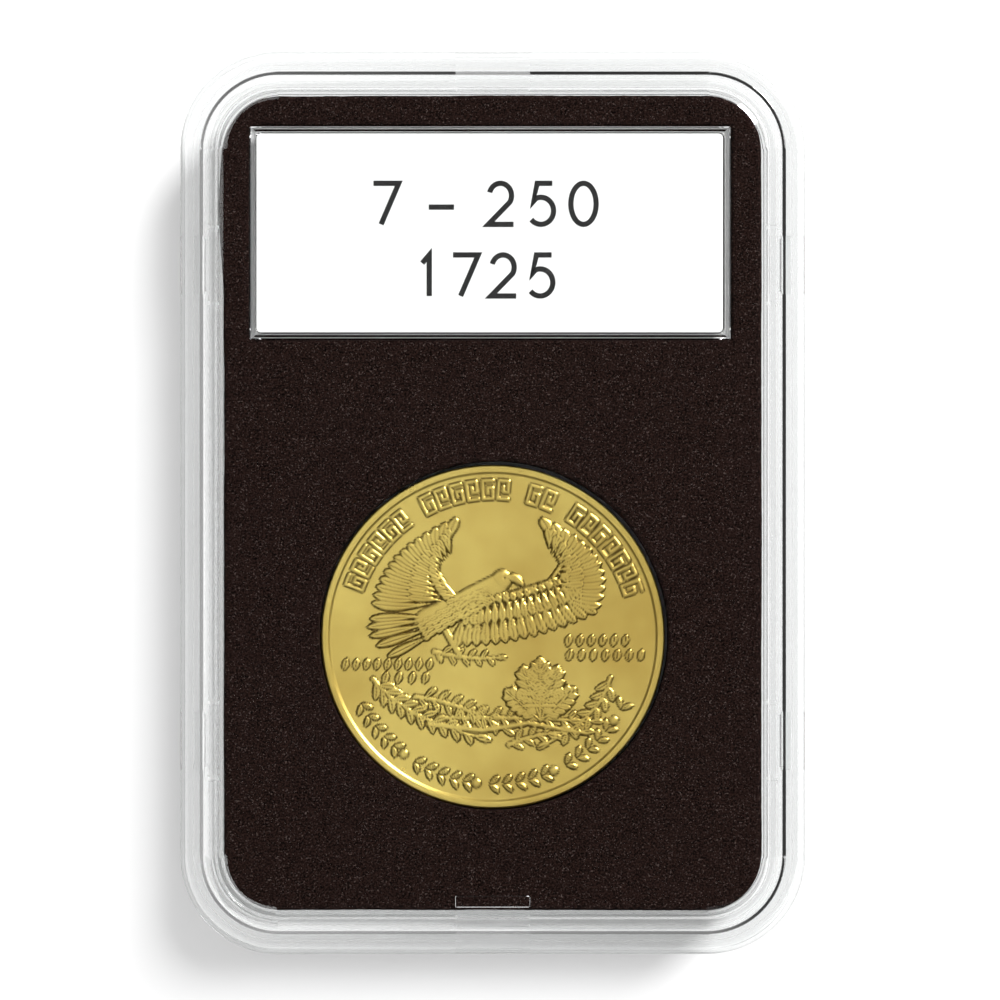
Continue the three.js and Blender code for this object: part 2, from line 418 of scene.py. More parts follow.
def clear_plastic(tint, name, clarity, low_roughness, high_roughness, grain_size, depth):
    """Clear polystyrene. Lamps and soft light reach what is inside through it."""
    shader = Shader(name)
    swirl = shader.grain(1 / grain_size, detail=3.0, distortion=0.4)
    shader.set(
        Base_Color=rgba(tint),
        Transmission_Weight=clarity,
        IOR=1.59,
        Roughness=shader.between(swirl, low_roughness, high_roughness, 0.35, 0.75),
        Normal=shader.bump(swirl, 0.6, depth),
    )
    rays = shader.add("ShaderNodeLightPath")
    soft = shader.add("ShaderNodeBsdfTransparent", {"Color": (0.985, 0.985, 0.985, 1.0)})
    lamp = shader.add("ShaderNodeBsdfTransparent", {"Color": (0.985, 0.985, 0.985, 1.0)})
    inner = shader.add("ShaderNodeMixShader")
    shader.feed(inner.inputs[0], rays.outputs["Is Diffuse Ray"])
    shader.feed(inner.inputs[1], shader.surface.outputs[0])
    shader.feed(inner.inputs[2], soft.outputs[0])
    outer = shader.add("ShaderNodeMixShader")
    shader.feed(outer.inputs[0], rays.outputs["Is Shadow Ray"])
    shader.feed(outer.inputs[1], inner.outputs[0])
    shader.feed(outer.inputs[2], lamp.outputs[0])
    shader.feed(shader.output.inputs["Surface"], outer.outputs[0])
    return shader.material


def polished_plastic(case):
    """The clear plastic's polished faces, with the faint flow of the moulding."""
    return clear_plastic(case.tint, "clear_polished", 1.0, 0.0, 0.015, 6 * MM, 0.0007 * MM)


def frosted_plastic(case):
    """The same plastic where the mould's tool left a matt edge."""
    return clear_plastic(case.tint, "clear_frosted", 0.5, 0.35, 0.5, 0.4 * MM, 0.01 * MM)


def foam_material(foam):
    """Closed-cell foam with a skived face: dark cells, with a bright one here and there."""
    shader = Shader("foam_cells")
    cells = shader.grain(1 / (0.2 * MM), detail=3.0, roughness=0.7)
    clumps = shader.grain(1 / (1.1 * MM), detail=3.0)
    specks = shader.grain(1 / (0.17 * MM), detail=1.0)
    dark = rgba([0.05 * c for c in foam.colour])
    light = rgba([2.3 * c for c in foam.colour])
    body = shader.blend(shader.between(cells, 0.0, 1.0, 0.42, 0.62), dark, light)
    body = shader.blend(shader.between(clumps, 0.0, 0.25, 0.35, 0.7), body, light)
    bright = shader.between(specks, 0.0, 1.0, 0.62, 0.78)
    shader.set(
        Base_Color=shader.blend(bright, body, rgba(foam.fleck)),
        Roughness=0.95,
        Specular_IOR_Level=0.03,
        Normal=shader.bump(cells, 0.7, 0.06 * MM, shader.bump(clumps, 0.3, 0.1 * MM)),
    )
    return shader.material


def gold_material(coin):
    """Struck gold with a satin bloom, and painted shade darkening it at the foot of the relief."""
    shader = Shader("struck_gold")
    bloom = shader.grain(1 / (11 * MM), detail=3.0)
    grain = shader.grain(1 / (0.12 * MM), detail=3.0, roughness=0.6)
    # Painted shade: the gold turns towards the painted-shade colour where a point lies below the relief close round
    # it
    foot = shader.add("ShaderNodeAttribute", attribute_name=HOLLOW).outputs["Fac"]
    deep = rgba([0.76 * coin.gold[0], 0.7 * coin.gold[1], 0.62 * coin.gold[2]])
    metal = shader.blend(shader.between(bloom, 0.0, 1.0, 0.4, 0.68), rgba(coin.gold), deep)
    shader.set(
        Base_Color=shader.blend(shader.between(foot, 0.0, 0.9), metal, rgba(coin.painted_shade)),
        Metallic=1.0,
        Roughness=shader.between(bloom, 0.27, 0.33, 0.3, 0.7),
        Normal=shader.bump(grain, 0.25, 0.004 * MM),
    )
    return shader.material


def paper_material(label):
    """Smooth white card with a fine fibre."""
    shader = Shader("label_card_stock")
    fibre = shader.grain(1 / (0.3 * MM), detail=5.0, roughness=0.7)
    shade = rgba([0.97 * c for c in label.paper])
    shader.set(
        Base_Color=shader.blend(shader.between(fibre, 0.0, 1.0, 0.35, 0.65), shade, rgba(label.paper)),
        Roughness=0.75,
        Specular_IOR_Level=0.3,
        Normal=shader.bump(fibre, 0.3, 0.01 * MM),
    )
    return shader.material


def ink_material(label):
    """Black print, slightly uneven where it sinks into the card."""
    shader = Shader("printed_ink")
    soak = shader.grain(1 / (0.2 * MM), detail=3.0)
    thin = rgba([2.2 * c for c in label.ink])
    shader.set(
        Base_Color=shader.blend(shader.between(soak, 0.0, 1.0, 0.4, 0.8), rgba(label.ink), thin),
        Roughness=shader.between(soak, 0.5, 0.7),
        Specular_IOR_Level=0.3,
    )
    return shader.material


# ---------------------------------------------------------------- shells

class CaseHeights:
    """The heights and insets that the shells share, from the case's settings."""

    def __init__(self, case):
        self.parting = case.thickness / 2
        self.ring_inset = case.outer_wall + case.nest_gap
        self.tray_inset = self.ring_inset + case.ring_wall
        self.back_floor = case.rim_height + case.window
        self.ceiling = case.thickness - case.rim_height - case.window
        self.ring_top = self.ceiling - RING_HEADROOM
        self.catch_top = self.ring_top - CATCH_TOP_GAP


def at_each_catch(case, inset_out, inset_in, half_length, z0, z1, shift=0.0):
    """A block at each of the four catch places, between two insets."""
    made = []
    for side in (-1, 1):
        x_out = side * (case.width / 2 - inset_out)
        x_in = side * (case.width / 2 - inset_in)
        for end in (-1, 1):
            y = end * CATCH_CENTRE_Y + shift
            made.append(box_between(x_out, x_in, y - half_length, y + half_length, z0, z1))
    return made


def at_each_short_side(case, half_width, inset_out, inset_in, z0, z1):
    """A block in the middle of each short side, between two insets."""
    made = []
    for side in (-1, 1):
        y_out = side * (case.length / 2 - inset_out)
        y_in = side * (case.length / 2 - inset_in)
        made.append(box_between(-half_width, half_width, y_out, y_in, z0, z1))
    return made


def pry_slots(case, heights):
    """The slots that a coin or a nail opens the case with."""
    z0 = heights.parting - SLOT_HEIGHT / 2
    return at_each_short_side(case, SLOT_WIDTH / 2, -OVERRUN, SLOT_DEPTH, z0, z0 + SLOT_HEIGHT)


def frame_outline(grow):
    """The outline of the label card's pocket, grown by a distance."""
    centre_y = (card_box[0].y + card_box[1].y) / 2
    half_x = (card_box[1].x - card_box[0].x) / 2 + CARD_CLEARANCE + grow
    half_y = (card_box[1].y - card_box[0].y) / 2 + CARD_CLEARANCE + grow
    radius = CARD_RADIUS if grow <= 0 else FRAME_RADIUS
    return outline(half_x, half_y, radius, centre_y) + FRAME_SHIFT


def label_frame(heights):
    """The frame under the front window, from its open edge up into the window."""
    low = heights.ceiling - FRAME_DEPTH
    high = heights.ceiling + SINK
    ease = SMALL_EASE
    loops = [
        at_height(frame_outline(-ease), high),
        at_height(frame_outline(-ease), heights.ceiling),
        at_height(frame_outline(0.0), heights.ceiling - ease),
        at_height(frame_outline(0.0), low + FRAME_EASE),
        at_height(frame_outline(FRAME_EASE), low),
        at_height(frame_outline(FRAME_WALL - FRAME_EASE), low),
        at_height(frame_outline(FRAME_WALL), low + FRAME_EASE),
        at_height(frame_outline(FRAME_WALL), heights.ceiling - ease),
        at_height(frame_outline(FRAME_WALL + ease), heights.ceiling),
        at_height(frame_outline(FRAME_WALL + ease), high),
    ]
    return stack("tool", loops, closed=True)


def gate_pad(case, heights):
    """The thin pad with sloped edges where the plastic entered the mould."""
    centre_y = -case.length / 2 + GATE_INSET + GATE_HEIGHT / 2
    loops = []
    for grow, z in (
        (0.0, heights.ceiling - GATE_THICKNESS),
        (GATE_THICKNESS, heights.ceiling),
        (GATE_THICKNESS, heights.ceiling + SINK),
    ):
        half_x, half_y = SLOT_WIDTH / 2 - GATE_THICKNESS + grow, GATE_HEIGHT / 2 + grow
        loops.append(at_height(outline(half_x, half_y, SMALL_EASE + grow, centre_y), z))
    return stack("tool", loops)


def frost_sloped_edges(shell, case, frosted_index):
    """Gives the frosted plastic to the label frame's lower edges and one end of the gate pad."""
    heights = CaseHeights(case)
    inside_x = case.width / 2 - heights.tray_inset
    inside_y = case.length / 2 - heights.tray_inset
    frame_edge = heights.ceiling - FRAME_DEPTH + FRAME_EASE / 2
    pad_edge = heights.ceiling - GATE_THICKNESS / 2
    pad_end = SMALL_EASE - SLOT_WIDTH / 2
    frame_side = (card_box[1].x - card_box[0].x) / 2 - SMALL_EASE
    for face in shell.data.polygons:
        x, y, z = face.center
        sloped = 0.3 < abs(face.normal.z) < 0.95
        inside = abs(x) < inside_x and abs(y) < inside_y
        on_frame = abs(z - frame_edge) < FRAME_EASE / 4
        on_pad = abs(z - pad_edge) < GATE_THICKNESS / 4 and y < 0 and x < pad_end
        under_side = abs(z - frame_edge + FRAME_EASE / 2) < FRAME_EASE / 4 and abs(x) > frame_side
        if inside and (sloped and (on_frame or on_pad) or under_side):
            face.material_index = frosted_index


def build_front_shell(case):
    """The front shell: window, rim, outer wall, label frame, catch pockets, keys and gate pad."""
    heights = CaseHeights(case)
    top = case.thickness
    low = heights.parting + PARTING_GAP / 2
    recess = top - case.rim_height
    wall = case.outer_wall
    profile = eased([
        (case.rim_width + OVERRUN, recess, 0.0),
        (case.rim_width, recess, SMALL_EASE),
        (case.rim_width, top, SMALL_EASE),
        (0.0, top, case.edge_rounding),
        (0.0, low, SMALL_EASE),
        (wall - MOUTH_CHAMFER, low, SMALL_EASE / 2),
        (wall, low + MOUTH_RISE, SMALL_EASE / 2),
        (wall, heights.ceiling, INNER_EASE),
        (wall + OVERRUN, heights.ceiling, 0.0),
    ])
    shell = stack("clear_front_shell", [case_loop(case, inset, z) for inset, z in profile])
    catch_middle = heights.catch_top - CATCH_HEIGHT / 2
    pocket_half = CATCH_HEIGHT / 2 + POCKET_MARGIN
    pockets = at_each_catch(
        case,
        wall - POCKET_DEPTH,
        wall + case.nest_gap / 2,
        CATCH_LENGTH / 2 + POCKET_MARGIN,
        catch_middle - pocket_half,
        catch_middle + pocket_half,
    )
    keys = at_each_short_side(
        case,
        SLOT_WIDTH / 2 - KEY_CLEARANCE,
        heights.ring_inset,
        heights.tray_inset,
        heights.parting + MOUTH_CHAMFER + KEY_CLEARANCE,
        heights.ceiling + SINK,
    )
    combine(shell, label_frame(heights), "UNION")
    combine(shell, blocks(keys), "UNION")
    combine(shell, gate_pad(case, heights), "UNION")
    combine(shell, blocks([*pockets, *pry_slots(case, heights)]), "DIFFERENCE")
    return shell


def catch_wedges(case, heights):
    """The snap catches: a sloped nose on the ring at each catch place."""
    points, faces = [], []
    ring_x = case.width / 2 - heights.ring_inset
    top = heights.catch_top
    low = top - CATCH_HEIGHT
    section = [
        (ring_x - SINK, low),
        (ring_x, low),
        (ring_x + CATCH_REACH, low + 0.35 * CATCH_HEIGHT),
        (ring_x + CATCH_REACH, low + 0.6 * CATCH_HEIGHT),
        (ring_x, top),
        (ring_x - SINK, top),
    ]
    count = len(section)
    for side in (-1, 1):
        for end in (-1, 1):
            start = len(points)
            for y in (-CATCH_LENGTH / 2, CATCH_LENGTH / 2):
                points += [(side * x, end * CATCH_CENTRE_Y + y, z) for x, z in section]
            faces += band_faces(start, start + count, count)
            faces.append(tuple(range(start + count - 1, start - 1, -1)))
            faces.append(tuple(range(start + count, start + 2 * count)))
    return mesh_object("tool", points, faces)


def build_back_shell(case):
    """The back shell: window, rim, base and the ring that the front shell drops over."""
    heights = CaseHeights(case)
    high = heights.parting - PARTING_GAP / 2
    profile = eased([
        (case.rim_width + OVERRUN, case.rim_height, 0.0),
        (case.rim_width + RIM_CHAMFER, case.rim_height, SMALL_EASE / 2),
        (case.rim_width + RIM_CHAMFER, RIM_RISE, SMALL_EASE / 4),
        (case.rim_width, 0.0, SMALL_EASE / 4),
        (0.0, 0.0, case.edge_rounding),
        (0.0, high, SMALL_EASE),
        (LIP_INSET, high, SMALL_EASE / 4),
        (LIP_INSET + LIP_DROP, high - LIP_DROP, SMALL_EASE / 4),
        (heights.ring_inset, high - LIP_DROP, SMALL_EASE),
        (heights.ring_inset, heights.ring_top - RING_CHAMFER, SMALL_EASE / 2),
        (heights.ring_inset + RING_CHAMFER, heights.ring_top, SMALL_EASE / 2),
        (heights.tray_inset, heights.ring_top, SMALL_EASE),
        (heights.tray_inset, heights.back_floor, INNER_EASE),
        (heights.tray_inset + OVERRUN, heights.back_floor, 0.0),
    ])
    shell = stack("clear_back_shell", [case_loop(case, inset, z) for inset, z in profile])
    combine(shell, catch_wedges(case, heights), "UNION")
    cuts = pry_slots(case, heights)
    for side in (-1, 1):
        cuts += at_each_catch(
            case,
            heights.ring_inset - NOTCH_MARGIN,
            heights.tray_inset + NOTCH_MARGIN,
            FINGER_SLIT / 2,
            heights.parting,
            heights.ring_top + OVERRUN,
            side * (FINGER_LENGTH + FINGER_SLIT) / 2,
        )
    cuts += at_each_short_side(
        case,
        SLOT_WIDTH / 2,
        heights.ring_inset - NOTCH_MARGIN,
        heights.tray_inset + NOTCH_MARGIN,
        heights.parting,
        heights.ring_top + OVERRUN,
    )
    combine(shell, blocks(cuts), "DIFFERENCE")
    return shell


class CAPSULE_OT_front_shell(bpy.types.Operator):
    """Build the clear front shell with its window, label frame and keys"""

    bl_idname = "capsule.front_shell"
    bl_label = "Front Shell"

    def execute(self, context):
        case = context.scene.capsule_case
        shell = build_front_shell(case)
        plastics = (polished_plastic(case), frosted_plastic(case))
        finish_piece(shell, "front", "front_shell", "clear_plastic", *plastics)
        frost_sloped_edges(shell, case, 1)
        smooth_by_angle(shell, 32)
        return {"FINISHED"}


class CAPSULE_OT_back_shell(bpy.types.Operator):
    """Build the clear back shell with its ring and catches"""

    bl_idname = "capsule.back_shell"
    bl_label = "Back Shell"

    def execute(self, context):
        case = context.scene.capsule_case
        shell = build_back_shell(case)
        finish_piece(shell, "back", "back_shell", "clear_plastic", polished_plastic(case))
        smooth_by_angle(shell, 32)
        return {"FINISHED"}


# ---------------------------------------------------------------- foam

BULGE_CENTRE_Y = 28.0 * MM
BULGE_HALF_LENGTH = 9.0 * MM
FOAM_EDGE_STEPS = 900
SEAT_SHIFT = np.array([0.1, 0.1]) * MM


def evenly_spaced(points, count):
    """A closed outline's points, spaced evenly along it."""
    ring = np.vstack([points, points[:1]])
    along = np.concatenate([[0.0], np.cumsum(np.linalg.norm(np.diff(ring, axis=0), axis=1))])
    places = np.linspace(0.0, along[-1], count, endpoint=False)
    return np.column_stack([np.interp(places, along, ring[:, axis]) for axis in (0, 1)])


def foam_outline(case, foam):
    """The die-cut edge of the foam: it wanders a little, and leans out beside the label."""
    inset = case.width / 2 - foam_box[1].x
    radius = case.corner_radius - inset
    plain = evenly_spaced(outline(foam_box[1].x, foam_box[1].y, radius), FOAM_EDGE_STEPS)
    cut = []
    for x, y in plain:
        wander = foam.waviness * noise.noise(Vector((x, y, 0.0)) / (7 * MM))
        swell = max(0.0, 1 - ((y - BULGE_CENTRE_Y) / BULGE_HALF_LENGTH) ** 2) ** 2
        lean = foam.bulge * swell if x < -0.9 * foam_box[1].x else 0.0
        away = Vector((x, y)).normalized()
        cut.append((x + away.x * wander - lean, y + away.y * wander))
    return np.array(cut)


def ring_outline(radius, centre_y, wander, count=360):
    """A round hole's edge that wanders a little."""
    points = []
    for step in range(count):
        angle = 2 * math.pi * step / count
        x, y = math.cos(angle), math.sin(angle)
        grown = radius + wander * noise.noise(Vector((3 * x, 3 * y, 5.0)))
        points.append((grown * x, centre_y + grown * y))
    return np.array(points)


def build_foam(case, foam):
    """The foam insert, with its coin hole and the groove and pad under the label."""
    heights = CaseHeights(case)
    low, high = foam_box[0].z, foam_box[1].z
    cut = foam_outline(case, foam)
    piece = stack("foam_sheet", [at_height(cut, low), at_height(cut, high)])
    centre_y = (coin_box[0].y + coin_box[1].y) / 2
    seat = (coin_box[1].x - coin_box[0].x) / 2 + foam.seat_clearance
    hole = ring_outline(seat, centre_y, 0.04 * MM) + SEAT_SHIFT
    hole_tool = stack("tool", [at_height(hole, low - OVERRUN), at_height(hole, high + OVERRUN)])
    combine(piece, hole_tool, "DIFFERENCE")
    groove_low = heights.ceiling - FRAME_DEPTH - foam.frame_clearance
    pad_high = card_box[0].z - CARD_CLEARANCE
    groove = [
        at_height(frame_outline(FRAME_WALL + foam.frame_clearance), high + OVERRUN),
        at_height(frame_outline(FRAME_WALL + foam.frame_clearance), groove_low),
        at_height(frame_outline(-foam.frame_clearance), groove_low),
        at_height(frame_outline(-foam.frame_clearance), high + OVERRUN),
    ]
    combine(piece, stack("tool", groove, closed=True), "DIFFERENCE")
    pad = frame_outline(FRAME_WALL / 2)
    pad_tool = stack("tool", [at_height(pad, pad_high), at_height(pad, high + OVERRUN)])
    combine(piece, pad_tool, "DIFFERENCE")
    shaped(piece, "REMESH", mode="VOXEL", voxel_size=foam.voxel, adaptivity=0.0)
    roughen_foam(piece, low, high)
    return piece


def roughen_foam(piece, low, high):
    """Gives the remeshed foam its slight unevenness, inside its own box."""
    mesh = piece.data
    count = len(mesh.vertices)
    places = np.empty(3 * count)
    mesh.vertices.foreach_get("co", places)
    places = places.reshape(-1, 3)
    normals = np.array([tuple(n.vector) for n in mesh.vertex_normals])
    swell = [noise.noise(Vector(place) / (4 * MM)) for place in places]
    cell = [noise.noise(Vector(place) / (0.5 * MM)) for place in places]
    lift = 0.03 * MM * np.array(swell) + 0.025 * MM * np.array(cell)
    places = places + normals * lift[:, None]
    places[:, 2] = np.clip(places[:, 2], low, high)
    mesh.vertices.foreach_set("co", places.ravel())
    mesh.update()
    mesh.polygons.foreach_set("use_smooth", [True] * len(mesh.polygons))


class CAPSULE_OT_foam(bpy.types.Operator):
    """Build the foam insert that holds the coin"""

    bl_idname = "capsule.foam"
    bl_label = "Foam Insert"

    def execute(self, context):
        scene = context.scene
        piece = build_foam(scene.capsule_case, scene.capsule_foam)
        finish_piece(piece, "foam", "foam_insert", "foam", foam_material(scene.capsule_foam))
        return {"FINISHED"}


# ---------------------------------------------------------------- coin

EDGE_SAMPLES_PER_REED = 7

# The name of the coin's point values that say how deep each point lies beside the relief, which darken the gold
# there as painted shade
HOLLOW = "hollow_shade"
HOLLOW_REACH = 0.14
HOLLOW_DEPTH = 0.029
RELIEF_GAIN = 1.2


def curve_point(curve, share):
    """A point on a curve through a start, a pull and an end."""
    start, pull, end = (np.array(p, float) for p in curve)
    return (1 - share) ** 2 * start + 2 * share * (1 - share) * pull + share**2 * end


class Relief:
    """Heights over a coin's field, in millimetres, raised by strokes, leaves and studs."""

    def __init__(self, x, y):
        self.x = x
        self.y = y
        self.height = np.zeros_like(x)

    def raise_to(self, height):
        """Lifts the field to a height where that is higher."""
        self.height = np.maximum(self.height, height)

    def along(self, start, end):
        """How far each point lies along a line, as a share, and to its left, and the line's length."""
        start, end = np.array(start, float), np.array(end, float)
        length = max(np.hypot(*(end - start)), 1e-6)
        ux, uy = (end - start) / length
        dx, dy = self.x - start[0], self.y - start[1]
        return (dx * ux + dy * uy) / length, dy * ux - dx * uy, length

    def leaf(self, root, tip, width, height, bend=0.0, blunt=1.0, vein=0.0, base=0.0):
        """A leaf or feather. A higher blunt makes a rounder tip, and vein a groove down its middle."""
        share, left, length = self.along(root, tip)
        inside = np.clip(share, 0.0, 1.0)
        left = left - bend * length * 4 * inside * (1 - inside)
        half = width / 2 * np.sin(math.pi * inside ** (1 + 0.6 * blunt)) ** 0.6
        across = np.abs(left) / np.maximum(half, 1e-4)
        on = (share > 0) & (share < 1) & (across < 1)
        crown = np.sqrt(np.clip(1 - across**2.8, 0.0, 1.0))
        crown = crown * (1 - vein * np.exp(-((across / 0.22) ** 2)))
        self.raise_to(np.where(on, base + height * crown, 0.0))

    def ridge(self, points, start_radius, end_radius, height):
        """A rounded ridge along points, whose radius changes from its start to its end."""
        steps = len(points) - 1
        for index in range(steps):
            share, left, length = self.along(points[index], points[index + 1])
            held = np.clip(share, 0.0, 1.0)
            distance = np.hypot((share - held) * length, left)
            radius = start_radius + (end_radius - start_radius) * (index + held) / steps
            self.raise_to(height * np.sqrt(np.clip(1 - (distance / radius) ** 2, 0.0, 1.0)))

    def stroke(self, points, half_width, height, edge=0.13):
        """A flat-topped stroke along points, with steep sides."""
        for start, end in zip(points, points[1:]):
            share, left, length = self.along(start, end)
            distance = np.hypot((share - np.clip(share, 0.0, 1.0)) * length, left)
            self.raise_to(height * np.clip((half_width + edge / 2 - distance) / edge, 0.0, 1.0))

    def stud(self, centre, radius, height):
        """A round stud."""
        distance = np.hypot(self.x - centre[0], self.y - centre[1]) / radius
        self.raise_to(height * np.sqrt(np.clip(1 - distance**2, 0.0, 1.0)))

    def fan(self, roots, tips, count, width, height, bend=0.0, blunt=2.0, vein=0.25, base=0.0):
        """A row of feathers whose roots and tips lie on two curves."""
        for index in range(count):
            share = index / (count - 1)
            root, tip = curve_point(roots, share), curve_point(tips, share)
            lift = base * (0.8 + 0.2 * (index % 2))
            self.leaf(root, tip, width, height, bend, blunt, vein, lift)

    def spray(self, stem, count, length, width, height, lean=40.0):
        """A leafy stem with leaves to both sides and one at its tip."""
        self.ridge([curve_point(stem, s / 8) for s in range(9)], 0.24, 0.14, 0.8 * height)
        for index in range(count):
            share = 0.04 + 0.94 * index / count
            root = curve_point(stem, share)
            ahead = curve_point(stem, share + 0.02) - root
            heading = math.atan2(ahead[1], ahead[0])
            angle = heading + math.radians(lean) * (1 if index % 2 else -1)
            reach = length * (1 - 0.25 * share)
            tip = root + reach * np.array([math.cos(angle), math.sin(angle)])
            self.leaf(root, tip, width, height, 0.06, 0.4, 0.35)
        end = curve_point(stem, 1.0)
        ahead = end - curve_point(stem, 0.95)
        self.leaf(end, end + ahead / np.hypot(*ahead) * length, width, height, 0.0, 0.4, 0.35)

    def star(self, centre, radius, height, turn=0.0):
        """A five-pointed star made of five ridged points."""
        for point in range(5):
            angle = turn + math.pi / 2 + 2 * math.pi * point / 5
            tip = (centre[0] + radius * math.cos(angle), centre[1] + radius * math.sin(angle))
            self.leaf(centre, tip, 0.62 * radius, height, 0.0, -0.6, 0.0)


def on_ring(radius, angle, points):
    """Points given across and outward at a place on a ring, as plan points."""
    out = np.array([math.cos(angle), math.sin(angle)])
    across = np.array([out[1], -out[0]])
    return [across * px + out * (radius + py) for px, py in points]


def flying_bird(relief):
    """A bird in flight that faces right, with a fanned tail and a twig below it."""
    relief.fan([(-6.0, 2.0), (-6.2, 1.3), (-5.4, 0.4)], [(-11.7, 1.7), (-12.6, 0.2), (-10.0, -1.9)],
               5, 0.86, 0.15, base=0.02)
    relief.fan([(-5.6, 3.2), (-7.2, 6.4), (-4.4, 8.4)], [(-11.5, 3.2), (-10.6, 8.6), (-3.4, 11.3)],
               14, 1.05, 0.13, bend=0.05, base=0.02)
    relief.fan([(-4.6, 3.4), (-6.0, 6.0), (-4.0, 7.8)], [(-8.0, 3.8), (-8.4, 7.2), (-4.5, 9.6)],
               12, 0.8, 0.1, base=0.09)
    relief.fan([(-2.6, 2.0), (2.5, 2.9), (7.4, 4.6)], [(-3.4, -0.9), (3.0, -1.0), (9.8, 2.2)],
               15, 1.0, 0.13, bend=-0.05, base=0.02)
    relief.fan([(6.2, 4.2), (7.6, 6.6), (5.7, 8.8)], [(10.2, 2.9), (12.4, 8.2), (4.6, 11.3)],
               13, 1.1, 0.13, bend=-0.07, base=0.03)
    relief.fan([(5.8, 4.7), (6.6, 6.6), (5.3, 8.2)], [(8.5, 4.4), (9.6, 7.4), (5.2, 10.3)],
               10, 0.8, 0.1, bend=-0.05, base=0.1)
    relief.fan([(-2.4, 3.2), (2.4, 3.8), (7.0, 5.4)], [(-2.6, 1.1), (2.6, 1.2), (8.4, 3.7)],
               16, 0.8, 0.1, base=0.09)
    relief.ridge([(-3.4, 3.4), (-4.6, 4.9), (-5.3, 6.2), (-5.2, 7.6), (-3.9, 9.7)], 0.34, 0.16, 0.13)
    relief.ridge([(-2.4, 3.7), (1.6, 4.0), (5.4, 5.2), (6.6, 6.9), (5.5, 9.2)], 0.36, 0.16, 0.13)
    relief.fan([(-3.2, 3.6), (-6.6, 6.0), (-4.1, 9.3)], [(-4.4, 3.3), (-7.7, 6.5), (-4.3, 10.2)],
               15, 0.72, 0.1, base=0.12)
    relief.fan([(-1.6, 4.1), (2.2, 3.9), (6.2, 6.1)], [(-1.3, 3.2), (2.7, 3.1), (7.1, 5.3)],
               13, 0.72, 0.1, base=0.12)
    relief.fan([(6.3, 6.0), (7.2, 7.4), (5.4, 9.3)], [(7.3, 5.8), (8.2, 7.7), (5.9, 10.2)],
               8, 0.72, 0.1, base=0.12)
    relief.ridge([(-6.2, 1.4), (-3.8, 2.6), (-1.2, 4.1), (0.6, 5.1)], 1.3, 1.0, 0.2)
    for row in range(11):
        middle = curve_point([(-6.4, 1.2), (-3.4, 3.0), (-0.6, 4.4)], row / 10)
        for lane in (-1.15, -0.7, -0.25, 0.2):
            root = middle + np.array([-0.45, 0.9]) * (lane + 0.11 * (row % 2)) + np.array([0.35, 0.2])
            relief.leaf(root, root + np.array([-1.0, -0.66]), 0.52, 0.05, 0, 2.5, 0.3, 0.17)
    relief.stud((0.85, 5.4), 1.0, 0.23)
    relief.leaf((1.0, 5.75), (2.95, 4.8), 0.9, 0.19, 0.14, 0.1)
    relief.stroke([(-4.7, 1.0), (-3.9, -0.5), (-3.2, -1.6)], 0.28, 0.13)
    relief.spray([(-5.6, -1.4), (-2.6, -2.2), (0.2, -2.0)], 9, 1.15, 0.5, 0.12, 50)
    eye = np.hypot(relief.x - 1.15, relief.y - 5.6)
    relief.height = relief.height - 0.07 * np.exp(-((eye / 0.16) ** 2))


def leafy_band(relief):
    """Leaf sprays and a cluster of broad leaves across the lower third."""
    relief.spray([(-11.4, -4.0), (-8.6, -7.6), (-1.8, -9.4)], 19, 1.75, 0.72, 0.15)
    relief.spray([(-7.4, -5.7), (-3.0, -6.2), (0.8, -8.6)], 13, 1.5, 0.6, 0.14, 50)
    relief.spray([(11.2, -3.9), (10.2, -7.6), (5.6, -9.9)], 13, 1.6, 0.66, 0.15)
    relief.spray([(-4.6, -7.7), (1.0, -7.6), (9.2, -8.0)], 19, 1.35, 0.55, 0.13, 55)
    relief.spray([(1.5, -10.3), (4.0, -9.0), (8.4, -9.0)], 9, 1.3, 0.55, 0.13, 45)
    relief.ridge([(-6.0, -8.3), (-1.0, -8.9), (3.4, -8.2), (9.0, -9.2)], 0.34, 0.2, 0.16)
    for tip, width in (((1.1, -5.0), 2.1), ((7.9, -4.8), 2.1), ((2.8, -2.7), 2.3), ((6.2, -2.7), 2.3)):
        broad_leaf(relief, (4.6, -8.0), tip, width)
    broad_leaf(relief, (4.5, -8.0), (4.5, -1.9), 2.4)
    for x in (3.7, 5.3):
        relief.stud((x, -7.0), 0.75, 0.21)
        relief.ridge([(x - 0.55, -6.55), (x + 0.55, -6.55)], 0.3, 0.3, 0.22)


def broad_leaf(relief, root, tip, width):
    """A broad leaf with a midrib and side veins, drawn as overlapping lobes."""
    root, tip = np.array(root, float), np.array(tip, float)
    relief.leaf(root, tip, width, 0.15, 0.0, 0.2, 0.0)
    along = tip - root
    side = np.array([-along[1], along[0]]) / np.hypot(*along)
    for step in range(5):
        start = root + along * (0.18 + 0.14 * step)
        for hand in (-1, 1):
            reach = 0.52 * width * math.sin(math.pi * (0.28 + 0.12 * step))
            end = start + along * 0.17 + side * hand * reach
            relief.leaf(start, end, 0.62, 0.06, 0.0, 0.6, 0.3, 0.12)
    relief.ridge([root, root + along * 0.96], 0.14, 0.06, 0.21)


